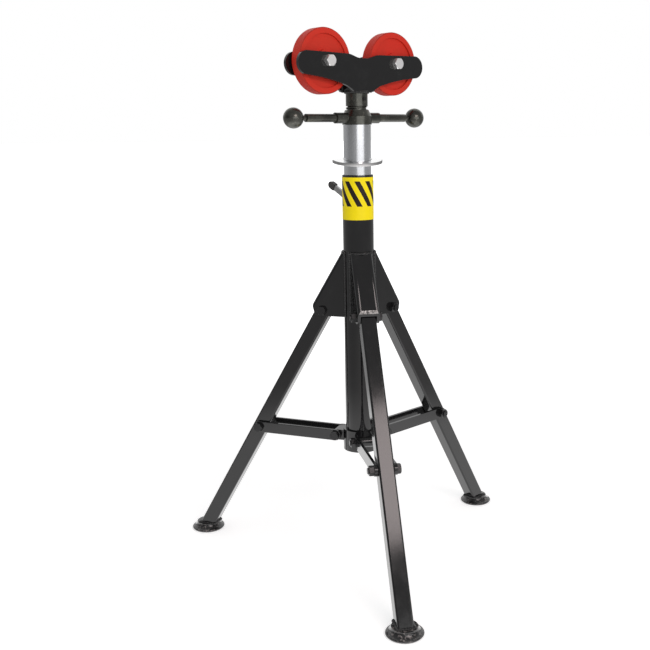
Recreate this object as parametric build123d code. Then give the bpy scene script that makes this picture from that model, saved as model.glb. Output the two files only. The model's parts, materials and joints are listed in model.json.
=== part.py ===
from build123d import *
from math import atan2, cos, degrees, hypot, radians, sin, sqrt, tan
import os

# Folding three-legged pipe jack stand with a roller head.
# Everything is drawn round the column's axis, in millimetres, with the floor at z = 0.
# It is then moved so that the middle of the footprint is the origin.
# In each piece's own drawing frame X points away from the column and Y is tangential.

os.makedirs("parts", exist_ok=True)

# Clearances
sliding_gap = 0.3
running_gap = 0.08
side_gap = 0.5
rest_gap = 0.3
collar_gap = 0.4
shank_rest = 0.1
rod_gap = 0.9

# Column and mast tubes
column_diameter = 50.8
column_top = 650.0
column_bottom = 184.0
mast_diameter = 44.45
mast_wall = 3.05
mast_length = 530.0
mast_top = 729.5
band_above_brackets = 55.0
band_rim_gap = 3.5
band_thickness = 0.35
band_glue_gap = 0.05

# Collar that slides on the column, and the ring that stops it
stop_ring_height = 10.0
ring_wall = 4.4
collar_height = 26.0
collar_wall = 4.2
lug_height = 18.0
lug_reach = 41.0

# Brackets
plate_thickness = 4.8
bracket_top_lip = 0.6
bracket_top_rise = 98.0
bracket_corner_reach = 17.5
bracket_corner_rise = 11.0
bracket_corner_cut = 3.0
bracket_heel_reach = 13.5
bracket_heel_drop = 6.0
bracket_toe_reach = 9.0
bracket_bottom_drop = 9.5
bracket_bend_radius = 6.0

# Legs and feet
leg_count = 3
front_leg_azimuth = -90.0
leg_size = 25.4
leg_wall = 2.1
leg_corner_radius = 3.0
leg_pivot_radius = 60.0
leg_pivot_height = 425.0
leg_overhang = 7.0
foot_circle_radius = 301.0
foot_radius = 29.0
foot_height = 13.0
foot_neck_radius = 20.2
foot_seat_height = 5.0
foot_rim_height = 4.5
foot_edge_radius = 1.6
foot_dish_radius = 22.0
foot_dish_depth = 2.0
foot_flare_in = 0.36
foot_flare_down = 0.66
fold_angle = 24.0

# Brace arms between the collar and the legs
brace_point = 248.0
arm_width = 19.05
arm_thickness = 4.8
arm_overlap_bush = 6.2

# Bolts of the linkage
bolt_diameter = 9.5
bolt_head_flats = 14.3
bolt_head_height = 6.2
nut_height = 8.2
bolt_tip = 2.0
hexagon_round = 0.56
hexagon_straight = 0.7

# Screw and its nut with the turning bars
screw_diameter = 34.9
screw_length = 160.0
screw_shoulder = 6.0
screw_pin_diameter = 19.0
screw_pin_length = 24.0
screw_stop_height = 8.0
nut_body_diameter = 47.6
nut_body_height = 23.0
nut_straight_height = 13.0
bar_seat_height = 10.35
nut_top_diameter = 38.0
nut_spigot_length = 16.0
boss_diameter = 17.0
boss_reach = 44.0
bar_diameter = 12.7
bar_seat = 14.0
bar_neck_diameter = 8.0
bar_neck_length = 7.0
ball_diameter = 31.8
ball_reach = 124.0
ball_bore_depth = 12.0
handle_azimuth = 27.0

# Roller head
head_azimuth = 28.5
stem_diameter = 35.2
stem_length = 22.0
saddle_half_length = 19.0
saddle_height = 20.0
axle_height = 826.0
wheel_spacing = 140.0
wheel_diameter = 100.0
wheel_width = 20.0
wheel_hub_diameter = 34.0
wheel_hub_length = 26.2
wheel_web_recess = 2.5
wheel_rim_width = 9.0
wheel_edge_radius = 1.5
bush_wall = 3.0
axle_diameter = 11.1
axle_head_flats = 16.2
axle_head_height = 8.0
axle_nut_height = 9.6
head_plate_gap = 26.8
head_plate_thickness = 5.0
head_plate_half_length = 128.5
head_plate_end_radius = 17.7
head_plate_top_rise = 13.5
head_plate_top_fall = 1.5
head_plate_dip = 6.0
head_plate_dip_flat = 4.0
head_plate_dip_half_width = 34.0
head_plate_sole_half_width = 20.0
head_plate_knee_reach = 40.0
head_plate_knee_drop = 34.5
head_plate_end_slope = 0.08
head_plate_knee_slope = 0.27
head_set_screw_diameter = 6.0
head_set_screw_length = 10.0

# Mast lock
lock_azimuth = 86.0
housing_reach = 60.0
housing_width = 30.0
housing_wall = 3.0
housing_below_lever = 15.0
housing_above_plate = 19.5
housing_corner_radius = 12.0
housing_throat_reach = 32.0
lock_plate_rise = 22.5
lock_plate_cant = 8.5
lock_plate_radius = 41.0
lock_plate_thickness = 4.8
lock_plate_back = 7.0
lock_tongue_width = 20.0
lock_pivot_reach = 52.0
lock_pin_diameter = 4.0
lock_hole_gap = 0.5
lock_hole_stretch = 1.4
push_rod_reach = 41.0
push_rod_diameter = 5.0
lever_pivot_reach = 49.0
lever_pivot_height = 600.0
lever_thickness = 5.0
lever_height = 9.5
lever_inner_arm = 8.0
lever_bend_reach = 63.0
lever_length = 60.0
lever_sweep = 36.0
lever_rise = 28.0
lever_slot_height = 23.0
lever_slot_rise = 3.5
grip_length = 14.0
grip_wall = 1.2
spring_diameter = 9.0
spring_wire = 1.2
spring_turns = 3

# How far a cutting shape runs past the surface it cuts
overrun = 1.0

# Sizes that follow from the ones above
column_radius = column_diameter / 2
mast_radius = mast_diameter / 2
column_bore_radius = mast_radius + sliding_gap
mast_bore_radius = mast_radius - mast_wall
mast_bottom = mast_top - mast_length
collar_bore_radius = column_radius + collar_gap
collar_radius = collar_bore_radius + collar_wall
collar_bottom = column_bottom + stop_ring_height + rest_gap
lug_centre_height = collar_bottom + collar_height / 2
cheek_inner = leg_size / 2 + side_gap
cheek_outer = cheek_inner + plate_thickness
bolt_radius = bolt_diameter / 2
bracket_top_radius = column_radius + bracket_top_lip
bracket_top_height = leg_pivot_height + bracket_top_rise
bracket_corner_radius = leg_pivot_radius + bracket_corner_reach
bracket_corner_height = leg_pivot_height + bracket_corner_rise
bracket_heel_radius = leg_pivot_radius + bracket_heel_reach
bracket_heel_height = leg_pivot_height - bracket_heel_drop
bracket_toe_radius = leg_pivot_radius + bracket_toe_reach
bracket_bottom_height = leg_pivot_height - bracket_bottom_drop
band_bottom = bracket_top_height + band_above_brackets
band_top = column_top - band_rim_gap
lock_plate_height = column_top + lock_plate_rise
housing_bottom = lever_pivot_height - housing_below_lever
housing_top = lock_plate_height + housing_above_plate
leg_azimuths = [front_leg_azimuth + i * 360 / leg_count for i in range(leg_count)]
leg_tilt = atan2(foot_circle_radius - leg_pivot_radius, leg_pivot_height - foot_seat_height)
brace_radius = leg_pivot_radius + brace_point * sin(leg_tilt)
brace_height = leg_pivot_height - brace_point * cos(leg_tilt)
arm_inner = cheek_inner
arm_outer = arm_inner + arm_thickness
arm_run = brace_radius - lug_reach
arm_drop = lug_centre_height - brace_height
arm_length = hypot(arm_run, arm_drop)
arm_angle = atan2(arm_drop, arm_run)
nut_bottom = mast_top + rest_gap
nut_top = nut_bottom + nut_body_height
bar_height = nut_bottom + bar_seat_height
screw_top = nut_top + screw_shoulder
stem_bottom = screw_top
stem_top = stem_bottom + stem_length
saddle_bottom = stem_top
screw_radius = screw_diameter / 2
bush_radius = axle_diameter / 2 + running_gap + bush_wall
plate_inner = head_plate_gap / 2
plate_outer = plate_inner + head_plate_thickness
footprint_shift = foot_circle_radius / 4
arc_middle = 1 - sqrt(0.5)
base = (Align.CENTER, Align.CENTER, Align.MIN)


def save(shape, node):
    """Moves a finished piece to the shared frame and writes its file."""
    export_step(Pos(0, footprint_shift, 0) * shape, f"parts/{node}.step")


def turned(shape, azimuth):
    """Turns a piece from its drawing frame to its direction round the column."""
    return Rot(0, 0, azimuth) * shape


def group(shapes):
    """Joins separate solids as one node without fusing them."""
    return Compound([solid for shape in shapes for solid in shape.solids()])


def upright(radius, bottom, top):
    """A round bar that stands between two heights."""
    return Pos(0, 0, bottom) * Cylinder(radius, top - bottom, align=base)


def pipe(outer, inner, bottom, top):
    """A round tube that stands between two heights."""
    return upright(outer, bottom, top) - upright(inner, bottom - overrun, top + overrun)


def crosswise(radius, start, end, x, z):
    """A round bar along Y between two places."""
    bar = Cylinder(radius, end - start, align=base)
    return Pos(x, start, z) * Rot(-90, 0, 0) * bar


def hexagon_prism(flats, height):
    """A hexagonal head or nut blank with its outer corners chamfered."""
    blank = extrude(RegularPolygon(flats / 2, 6, major_radius=False), height)
    cone = Cone(flats / 2 + height, flats / 2, height, align=base)
    return blank & (cone + Cylinder(flats * hexagon_round, height * hexagon_straight, align=base))


def side_hexagon(flats, height, x, face, z, outward):
    """A hexagonal head on a face that looks along plus or minus Y."""
    return Pos(x, face, z) * Rot(-90 * outward, 0, 0) * hexagon_prism(flats, height)


def cross_bolt(x, z, grip):
    """A bolt across a joint, its head on the plus Y side."""
    shank = crosswise(bolt_radius, -grip - nut_height - bolt_tip, grip, x, z)
    return shank + side_hexagon(bolt_head_flats, bolt_head_height, x, grip, z, 1)


def cross_nut(x, z, grip):
    """The nut of that bolt, on the minus Y side."""
    nut = side_hexagon(bolt_head_flats, nut_height, x, -grip, z, -1)
    return nut - crosswise(bolt_radius, -grip - nut_height - overrun, -grip + overrun, x, z)


def side_profile(points, half_width):
    """A plate outline drawn in the XZ plane, made as thick as two half widths."""
    face = make_face(Polyline(*[(x, 0, z) for x, z in points], close=True))
    return extrude(face, half_width, dir=(0, 1, 0), both=True)


def column_tube():
    return pipe(column_radius, column_bore_radius, column_bottom, column_top)


def stop_ring():
    return pipe(column_radius + ring_wall, column_radius, column_bottom, column_bottom + stop_ring_height)


def wrap_band():
    band = pipe(column_radius + band_thickness, column_radius + band_glue_gap, band_bottom, band_top)
    gap = Pos(column_radius, 0, (band_bottom + band_top) / 2) * Box(
        column_radius, housing_width + 2 * side_gap, band_top - band_bottom + 2 * overrun)
    return band - turned(gap, lock_azimuth)


def leg_bracket():
    """A channel with a slanting back, its two cheeks welded to the column."""
    run = bracket_corner_radius - bracket_top_radius
    fall = bracket_top_height - bracket_corner_height
    length = hypot(run, fall)
    along = (run / length, -fall / length)
    inward = (-fall / length, -run / length)
    slope_end = (bracket_corner_radius - along[0] * bracket_corner_cut,
                 bracket_corner_height - along[1] * bracket_corner_cut)
    outline = [
        (0, bracket_top_height),
        (bracket_top_radius, bracket_top_height),
        slope_end,
        (bracket_corner_radius, bracket_corner_height - bracket_corner_cut),
        (bracket_heel_radius, bracket_heel_height),
        (bracket_toe_radius, bracket_bottom_height),
        (0, bracket_bottom_height),
    ]
    shell = side_profile(outline, cheek_outer)
    middle = ((bracket_top_radius + slope_end[0]) / 2, (bracket_top_height + slope_end[1]) / 2)
    bends = [e for e in shell.edges()
             if hypot(e.center().X - middle[0], e.center().Z - middle[1]) < 1 and abs(e.center().Y) > 1]
    shell = fillet(bends, bracket_bend_radius)
    inner_top = (bracket_top_radius + inward[0] * plate_thickness - along[0] * length,
                 bracket_top_height + inward[1] * plate_thickness - along[1] * length)
    inner_end = (bracket_corner_radius + inward[0] * plate_thickness + along[0] * length,
                 bracket_corner_height + inward[1] * plate_thickness + along[1] * length)
    inner_corners = [inner_top, inner_end, (-length, inner_end[1]), (-length, inner_top[1])]
    hollow = side_profile(inner_corners, cheek_inner)
    shell -= hollow
    shell -= upright(column_radius, bracket_bottom_height - overrun, bracket_top_height + overrun)
    shell -= crosswise(bolt_radius + running_gap, -cheek_outer - overrun, cheek_outer + overrun,
                       leg_pivot_radius, leg_pivot_height)
    return shell


def leg_frame():
    """The place of a leg's pivot, with Z up along the leg."""
    return Pos(leg_pivot_radius, 0, leg_pivot_height) * Rot(0, -degrees(leg_tilt), 0)


def leg_bar():
    """The leg's outside shape, cut level where it sits in the foot."""
    length = leg_pivot_height / cos(leg_tilt) + leg_size
    blank = Box(leg_size, leg_size, length + leg_overhang, align=base)
    blank = fillet(blank.edges().filter_by(Axis.Z), leg_corner_radius)
    floor = Pos(foot_circle_radius, 0, foot_seat_height) * Box(
        4 * foot_radius, 4 * foot_radius, 4 * foot_radius, align=(Align.CENTER, Align.CENTER, Align.MAX))
    return leg_frame() * Pos(0, 0, -length) * blank - floor


def leg_tube():
    length = leg_pivot_height / cos(leg_tilt) + leg_size
    bore = leg_size - 2 * leg_wall
    hollow = Box(bore, bore, 2 * length)
    tube = leg_bar() - leg_frame() * hollow
    reach = leg_size / 2 + overrun
    tube -= crosswise(bolt_radius + running_gap, -reach, reach, leg_pivot_radius, leg_pivot_height)
    tube -= crosswise(arm_overlap_bush, -reach, reach, brace_radius, brace_height)
    return tube


def leg_foot():
    """A round foot, flared from the leg's end down to a thin rim, with a dished sole."""
    shoulder = (foot_neck_radius, foot_height)
    rim = (foot_radius - foot_edge_radius, foot_rim_height)
    flare = ThreePointArc(shoulder, (foot_neck_radius + (rim[0] - shoulder[0]) * foot_flare_in,
                          foot_height - (foot_height - rim[1]) * foot_flare_down), rim)
    edge = ThreePointArc(rim, (foot_radius, foot_rim_height - foot_edge_radius),
                         (foot_radius - foot_edge_radius * arc_middle, foot_rim_height - 2 * foot_edge_radius))
    wall = Line(edge @ 1, (foot_radius - foot_edge_radius, 0))
    sole = Line(wall @ 1, (0, 0))
    spine = Line((0, 0), (0, foot_height))
    top = Line((0, foot_height), shoulder)
    face = make_face([top, flare, edge, wall, sole, spine])
    body = revolve(Plane.XZ * face, Axis.Z)
    body -= Cone(foot_dish_radius, foot_dish_radius / 2, foot_dish_depth, align=base)
    return Pos(foot_circle_radius, 0, 0) * body - leg_bar()


def leg_bush():
    """The sleeve across the leg that the brace arms turn on."""
    half = leg_size / 2
    return crosswise(arm_overlap_bush, -half, half, brace_radius, brace_height)


def brace_arm():
    """Two flat bars, one each side of the leg and of the collar's lug."""
    middle = Pos(lug_reach, 0, lug_centre_height) * Rot(0, degrees(arm_angle), 0)
    bars = []
    for side in (-1, 1):
        centre = side * (arm_inner + arm_thickness / 2)
        bar = Pos(arm_length / 2, centre, 0) * Box(arm_length, arm_thickness, arm_width)
        for x in (0, arm_length):
            bar += crosswise(arm_width / 2, centre - arm_thickness / 2, centre + arm_thickness / 2, x, 0)
        for x in (0, arm_length):
            bar -= crosswise(bolt_radius + running_gap, centre - arm_thickness, centre + arm_thickness, x, 0)
        bars.append(middle * bar)
    return group(bars)


def brace_end_bolts():
    """Head and nut at the arm's outer end, each with the shank that its bar holds."""
    head = crosswise(bolt_radius, arm_inner + shank_rest, arm_outer, brace_radius, brace_height)
    head += side_hexagon(bolt_head_flats, bolt_head_height, brace_radius, arm_outer, brace_height, 1)
    nut = crosswise(bolt_radius, -arm_outer - nut_height - bolt_tip, -arm_inner - shank_rest,
                    brace_radius, brace_height)
    nut += side_hexagon(bolt_head_flats, nut_height, brace_radius, -arm_outer, brace_height, -1)
    return group([head, nut])


def slider_collar():
    """The collar with one lug for each leg."""
    collar = upright(collar_radius, collar_bottom, collar_bottom + collar_height)
    for azimuth in leg_azimuths:
        lug = Pos(0, 0, lug_centre_height) * Box(
            lug_reach, leg_size, lug_height, align=(Align.MIN, Align.CENTER, Align.CENTER))
        lug += crosswise(lug_height / 2, -leg_size / 2, leg_size / 2, lug_reach, lug_centre_height)
        lug -= crosswise(bolt_radius + running_gap, -leg_size, leg_size, lug_reach, lug_centre_height)
        collar += turned(lug, azimuth)
    bore_top = collar_bottom + collar_height + overrun
    return collar - upright(collar_bore_radius, collar_bottom - overrun, bore_top)


def inner_tube():
    return pipe(mast_radius, mast_bore_radius, mast_bottom, mast_top)


def turning_nut():
    """The nut on the mast's end: a tapered body, a spigot into the tube and two bosses for the bars."""
    shoulder = nut_bottom + nut_straight_height
    body = upright(nut_body_diameter / 2, nut_bottom, shoulder)
    taper = Cone(nut_body_diameter / 2, nut_top_diameter / 2, nut_top - shoulder, align=base)
    body += Pos(0, 0, shoulder) * taper
    body += upright(mast_bore_radius - sliding_gap, nut_bottom - nut_spigot_length, nut_bottom)
    for side in (0, 180):
        boss = Pos(0, 0, bar_height) * Rot(0, 90, 0) * Cylinder(boss_diameter / 2, boss_reach, align=base)
        body += Rot(0, 0, side) * boss
    for side in (0, 180):
        socket = Pos(boss_reach - bar_seat, 0, bar_height) * Rot(0, 90, 0) * Cylinder(
            bar_diameter / 2, bar_seat + overrun, align=base)
        body -= Rot(0, 0, side) * socket
    body -= upright(screw_radius + running_gap, nut_bottom - nut_spigot_length - overrun, nut_top + overrun)
    return turned(body, handle_azimuth)


def handle_bar(side):
    """A round bar from the nut's boss to the ball, necked where it enters the ball."""
    start = boss_reach - bar_seat
    neck_start = ball_reach - ball_diameter / 2 - bar_neck_length
    end = ball_reach - ball_diameter / 2 + ball_bore_depth
    bar = Cylinder(bar_diameter / 2, neck_start - start, align=base)
    neck = Pos(0, 0, neck_start - start) * Cylinder(bar_neck_diameter / 2, end - neck_start, align=base)
    bar = Pos(start, 0, bar_height) * Rot(0, 90, 0) * (bar + neck)
    return turned(bar, handle_azimuth + side)


def handle_ball(side):
    """The ball on a bar's end, bored blind for the bar's neck."""
    bore = Cylinder(bar_neck_diameter / 2, ball_bore_depth + overrun, align=base)
    bore = Pos(-ball_diameter / 2 - overrun, 0, 0) * Rot(0, 90, 0) * bore
    ball = Pos(ball_reach, 0, bar_height) * (Sphere(ball_diameter / 2) - bore)
    return turned(ball, handle_azimuth + side)


def jack_screw():
    """The lifting screw with the pin that the head turns on."""
    screw = upright(screw_radius, screw_top - screw_length, screw_top)
    return screw + upright(screw_pin_diameter / 2, screw_top, screw_top + screw_pin_length)


def screw_stop():
    """The washer under the screw that keeps it in the tube."""
    top = screw_top - screw_length
    return upright(mast_bore_radius - sliding_gap, top - screw_stop_height, top)


def head_stem():
    """The socket that sits on the screw's pin."""
    stem = upright(stem_diameter / 2, stem_bottom, stem_top)
    stem -= upright(screw_pin_diameter / 2 + running_gap, stem_bottom - overrun, stem_top + overrun)
    radius = head_set_screw_diameter / 2
    height = (stem_bottom + stem_top) / 2
    return stem - crosswise(radius, -stem_diameter, 0, 0, height)


def head_set_screw():
    """The small screw in the stem's side that keeps the head on the pin."""
    start = -screw_pin_diameter / 2 - running_gap - rest_gap - head_set_screw_length
    height = (stem_bottom + stem_top) / 2
    return crosswise(head_set_screw_diameter / 2, start, start + head_set_screw_length, 0, height)


def saddle_block():
    """The block between the two plates, drilled for the top of the screw's pin."""
    block = Pos(0, 0, saddle_bottom) * Box(
        2 * saddle_half_length, head_plate_gap, saddle_height, align=base)
    pin_top = screw_top + screw_pin_length
    return block - upright(screw_pin_diameter / 2 + running_gap, saddle_bottom - overrun, pin_top + rest_gap)


def head_plate(side):
    """One side plate: round ends, a dip in the top edge and a belly down to the stem."""
    end = head_plate_half_length - head_plate_end_radius
    top = axle_height + head_plate_top_rise
    shoulder = (head_plate_dip_half_width, top - head_plate_top_fall)
    dip = top - head_plate_top_fall - head_plate_dip
    end_height = top - head_plate_end_radius
    low_end = end_height - head_plate_end_radius
    knee = (head_plate_knee_reach, axle_height - head_plate_knee_drop)
    sole = (head_plate_sole_half_width, saddle_bottom)
    half = [
        Line((0, dip), (head_plate_dip_flat, dip)),
        Spline((head_plate_dip_flat, dip), shoulder, tangents=[(1, 0), (1, 0)]),
        Line(shoulder, (end, top)),
        ThreePointArc((end, top), (head_plate_half_length, end_height), (end, low_end)),
        Spline((end, low_end), knee, tangents=[(-1, -head_plate_end_slope), (-1, -head_plate_knee_slope)]),
        Spline(knee, sole, tangents=[(-1, -head_plate_knee_slope), (-1, -1)]),
        Line(sole, (0, saddle_bottom)),
        Line((0, saddle_bottom), (0, dip)),
    ]
    plate = extrude(Plane.XZ * make_face(half), head_plate_thickness)
    plate = plate + mirror(plate, Plane.YZ)
    plate = Pos(0, -plate_inner, 0) * plate
    for x in (-wheel_spacing / 2, wheel_spacing / 2):
        plate -= crosswise(axle_diameter / 2, -plate_outer - overrun, -plate_inner + overrun, x, axle_height)
    return Rot(0, 0, 0 if side < 0 else 180) * plate


def wheel(x):
    """A roller with a raised rim, a recessed web and a hub that spaces it from the plates."""
    half = wheel_width / 2
    hub_half = wheel_hub_length / 2
    radius = wheel_diameter / 2
    bore = bush_radius
    quarter = [
        Line((bore, 0), (bore, hub_half)),
        Line((bore, hub_half), (wheel_hub_diameter / 2, hub_half)),
        Line((wheel_hub_diameter / 2, hub_half), (wheel_hub_diameter / 2, half - wheel_web_recess)),
        Line((wheel_hub_diameter / 2, half - wheel_web_recess),
             (radius - wheel_rim_width, half - wheel_web_recess)),
        Line((radius - wheel_rim_width, half - wheel_web_recess), (radius - wheel_rim_width, half)),
        Line((radius - wheel_rim_width, half), (radius - wheel_edge_radius, half)),
        ThreePointArc((radius - wheel_edge_radius, half),
                      (radius - wheel_edge_radius * arc_middle, half - wheel_edge_radius * arc_middle),
                      (radius, half - wheel_edge_radius)),
        Line((radius, half - wheel_edge_radius), (radius, 0)),
        Line((radius, 0), (bore, 0)),
    ]
    side = revolve(Plane.XZ * make_face(quarter), Axis.Z)
    body = side + mirror(side, Plane.XY)
    return Pos(x, 0, axle_height) * Rot(90, 0, 0) * body


def wheel_bush(x):
    half = wheel_hub_length / 2
    inner = axle_diameter / 2 + running_gap
    sleeve = Cylinder(bush_radius, 2 * half) - Cylinder(inner, 2 * (half + overrun))
    return Pos(x, 0, axle_height) * Rot(90, 0, 0) * sleeve


def axle_bolt(x):
    """A wheel's axle bolt, its head in front of the front plate."""
    tip = plate_outer + axle_nut_height + bolt_tip
    shank = crosswise(axle_diameter / 2, -plate_outer, tip, x, axle_height)
    return shank + side_hexagon(axle_head_flats, axle_head_height, x, -plate_outer, axle_height, -1)


def axle_nut(x):
    nut = side_hexagon(axle_head_flats, axle_nut_height, x, plate_outer, axle_height, 1)
    back = plate_outer + axle_nut_height + overrun
    return nut - crosswise(axle_diameter / 2, plate_outer - overrun, back, x, axle_height)


def lock_housing():
    """A folded channel on the column's side that carries the lock, open towards the tube."""
    height = housing_top - housing_bottom
    shell = Pos(0, 0, housing_bottom) * Box(
        housing_reach, housing_width, height, align=(Align.MIN, Align.CENTER, Align.MIN))
    corner = shell.edges().filter_by(Axis.Y).group_by(Axis.X)[-1].sort_by(Axis.Z)[-1]
    shell = fillet(corner, housing_corner_radius)
    inner = Pos(0, 0, housing_bottom - overrun) * Box(
        housing_reach - housing_wall, housing_width - 2 * housing_wall, height + overrun - housing_wall,
        align=(Align.MIN, Align.CENTER, Align.MIN))
    corner = inner.edges().filter_by(Axis.Y).group_by(Axis.X)[-1].sort_by(Axis.Z)[-1]
    inner = fillet(corner, housing_corner_radius - housing_wall)
    shell -= inner
    shell -= upright(column_radius, housing_bottom - overrun, housing_top + overrun)
    shell -= Pos(0, 0, column_top) * Box(
        housing_throat_reach, 2 * housing_width, height, align=(Align.MIN, Align.CENTER, Align.MIN))
    slot = Pos(housing_reach, 0, lever_pivot_height + lever_slot_rise) * Box(
        4 * housing_wall, lever_thickness + 2 * side_gap, lever_slot_height)
    shell -= slot
    for x, z in ((lock_pivot_reach, lock_pivot_height()), (lever_pivot_reach, lever_pivot_height)):
        shell -= crosswise(lock_pin_diameter / 2, -housing_width, housing_width, x, z)
    return turned(shell, lock_azimuth)


def lock_pivot_height():
    """The height of the lock plate's pin, which lies in the plate's mid-plane."""
    return plate_height_at(lock_pivot_reach)


def lock_pins():
    """The two pins across the housing."""
    pins = [crosswise(lock_pin_diameter / 2, -housing_width / 2, housing_width / 2, x, z)
            for x, z in ((lock_pivot_reach, lock_pivot_height()), (lever_pivot_reach, lever_pivot_height))]
    return group([turned(pin, lock_azimuth) for pin in pins])


def lock_plate():
    """A canted plate round the mast: a half-round front and a tongue back into the housing."""
    front = Circle(lock_plate_radius) & Rectangle(
        2 * lock_plate_radius, 4 * lock_plate_radius, align=(Align.MAX, Align.CENTER))
    back = make_face(Polyline(
        (0, -lock_plate_radius), (lock_plate_back, -lock_plate_radius + lock_plate_back),
        (mast_radius + lock_plate_back, -lock_tongue_width / 2),
        (lock_pivot_reach, -lock_tongue_width / 2), (lock_pivot_reach, lock_tongue_width / 2),
        (mast_radius + lock_plate_back, lock_tongue_width / 2),
        (lock_plate_back, lock_plate_radius - lock_plate_back), (0, lock_plate_radius), close=True))
    hole = make_hull([*(Pos(-lock_hole_stretch, 0) * Circle(mast_radius + lock_hole_gap)).edges(),
                      *(Pos(lock_hole_stretch, 0) * Circle(mast_radius + lock_hole_gap)).edges()])
    blank = extrude(front + back - hole, lock_plate_thickness / 2, both=True)
    half = lock_tongue_width / 2
    blank += crosswise(lock_plate_thickness / 2, -half, half, lock_pivot_reach, 0)
    pin_hole = lock_pin_diameter / 2 + running_gap
    blank -= crosswise(pin_hole, -half - overrun, half + overrun, lock_pivot_reach, 0)
    blank = Rot(0, -lock_plate_cant, 0) * Pos(-lock_pivot_reach, 0, 0) * blank
    return turned(Pos(lock_pivot_reach, 0, lock_pivot_height()) * blank, lock_azimuth)


def plate_height_at(reach):
    """The height of the lock plate's mid-plane, which rises with the distance from the column's axis."""
    return lock_plate_height + reach * tan(radians(lock_plate_cant))


def push_rod():
    """The rod that the lever pushes up under the plate's tongue."""
    bottom = lever_pivot_height + lever_height / 2 + rest_gap
    top = plate_height_at(push_rod_reach) - lock_plate_thickness / 2 - rod_gap
    return turned(Pos(push_rod_reach, 0, 0) * upright(push_rod_diameter / 2, bottom, top), lock_azimuth)


def lever_frame():
    """The bend in the lever, outside the housing."""
    return Pos(lever_bend_reach, 0, lever_pivot_height) * Rot(0, 0, lever_sweep) * Rot(0, -lever_rise, 0)


def lock_lever():
    """A flat lever on its pin: a nose under the rod and a swept, rising blade outside."""
    start = lever_pivot_reach - lever_inner_arm - push_rod_diameter / 2
    inside = Pos(start, 0, lever_pivot_height) * Box(
        lever_bend_reach - start, lever_thickness, lever_height,
        align=(Align.MIN, Align.CENTER, Align.CENTER))
    blade = Box(lever_length, lever_thickness, lever_height, align=(Align.MIN, Align.CENTER, Align.CENTER))
    blade += crosswise(lever_height / 2, -lever_thickness / 2, lever_thickness / 2, lever_length, 0)
    knuckle = Pos(lever_bend_reach, 0, lever_pivot_height) * Cylinder(lever_thickness / 2, lever_height)
    lever = inside + knuckle + lever_frame() * blade
    lever -= crosswise(lock_pin_diameter / 2 + running_gap, -housing_width, housing_width,
                       lever_pivot_reach, lever_pivot_height)
    return turned(lever, lock_azimuth)


def lever_grip():
    """The dipped grip on the lever's end."""
    start = lever_length - grip_length + lever_height / 2
    outer = Pos(start, 0, 0) * Box(grip_length - lever_height / 2, lever_thickness + 2 * grip_wall,
                                   lever_height + 2 * grip_wall,
                                   align=(Align.MIN, Align.CENTER, Align.CENTER))
    outer += crosswise(lever_height / 2 + grip_wall, -lever_thickness / 2 - grip_wall,
                       lever_thickness / 2 + grip_wall, lever_length, 0)
    core = Pos(start - overrun, 0, 0) * Box(lever_length - start + overrun, lever_thickness, lever_height,
                                            align=(Align.MIN, Align.CENTER, Align.CENTER))
    core += crosswise(lever_height / 2, -lever_thickness / 2, lever_thickness / 2, lever_length, 0)
    return turned(lever_frame() * (outer - core), lock_azimuth)


def lock_spring():
    """The small coil spring between the housing's cap and the tongue."""
    bottom = plate_height_at(push_rod_reach) + lock_plate_thickness / 2 + 2 * rest_gap + spring_wire / 2
    top = housing_top - housing_wall - rest_gap - spring_wire / 2
    radius = (spring_diameter - spring_wire) / 2
    path = Helix((top - bottom) / spring_turns, top - bottom, radius)
    wire = sweep(Plane(origin=path @ 0, z_dir=path % 0) * Circle(spring_wire / 2), path=path)
    return turned(Pos(push_rod_reach, 0, bottom) * wire, lock_azimuth)


def on_head(shape):
    """Turns a piece of the roller head to the head's direction."""
    return turned(shape, head_azimuth)


save(column_tube(), "outer_tube")
save(stop_ring(), "stop_ring")
save(wrap_band(), "wrap_band")
save(slider_collar(), "slider_collar")
save(inner_tube(), "inner_tube")
save(turning_nut(), "turning_nut")
save(jack_screw(), "jack_screw")
save(screw_stop(), "screw_stop")

lug_bolts, lug_nuts, pivot_bolts, pivot_nuts = [], [], [], []
for number, azimuth in enumerate(leg_azimuths, start=1):
    save(turned(leg_bracket(), azimuth), f"leg_bracket_{number}")
    save(turned(leg_tube(), azimuth), f"leg_tube_{number}")
    save(turned(leg_foot(), azimuth), f"leg_foot_{number}")
    save(turned(leg_bush(), azimuth), f"leg_bush_{number}")
    save(turned(brace_arm(), azimuth), f"brace_arm_{number}")
    save(turned(brace_end_bolts(), azimuth), f"brace_end_bolts_{number}")
    pivot_bolts.append(turned(cross_bolt(leg_pivot_radius, leg_pivot_height, cheek_outer), azimuth))
    pivot_nuts.append(turned(cross_nut(leg_pivot_radius, leg_pivot_height, cheek_outer), azimuth))
    lug_bolts.append(turned(cross_bolt(lug_reach, lug_centre_height, arm_outer), azimuth))
    lug_nuts.append(turned(cross_nut(lug_reach, lug_centre_height, arm_outer), azimuth))
save(group(pivot_bolts), "leg_pivot_bolts")
save(group(pivot_nuts), "leg_pivot_nuts")
save(group(lug_bolts), "slider_bolts")
save(group(lug_nuts), "slider_nuts")

for number, side in enumerate((0, 180), start=1):
    save(handle_bar(side), f"handle_bar_{number}")
    save(handle_ball(side), f"handle_ball_{number}")

save(on_head(head_stem()), "head_stem")
save(on_head(head_set_screw()), "head_set_screw")
save(on_head(saddle_block()), "saddle_block")
save(on_head(head_plate(-1)), "front_head_plate")
save(on_head(head_plate(1)), "rear_head_plate")
axle_places = (-wheel_spacing / 2, wheel_spacing / 2)
for number, x in enumerate(axle_places, start=1):
    save(on_head(wheel(x)), f"roller_wheel_{number}")
    save(on_head(wheel_bush(x)), f"wheel_bush_{number}")
    save(on_head(axle_bolt(x)), f"axle_bolt_{number}")
save(group([on_head(axle_nut(x)) for x in axle_places]), "axle_nuts")

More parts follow.
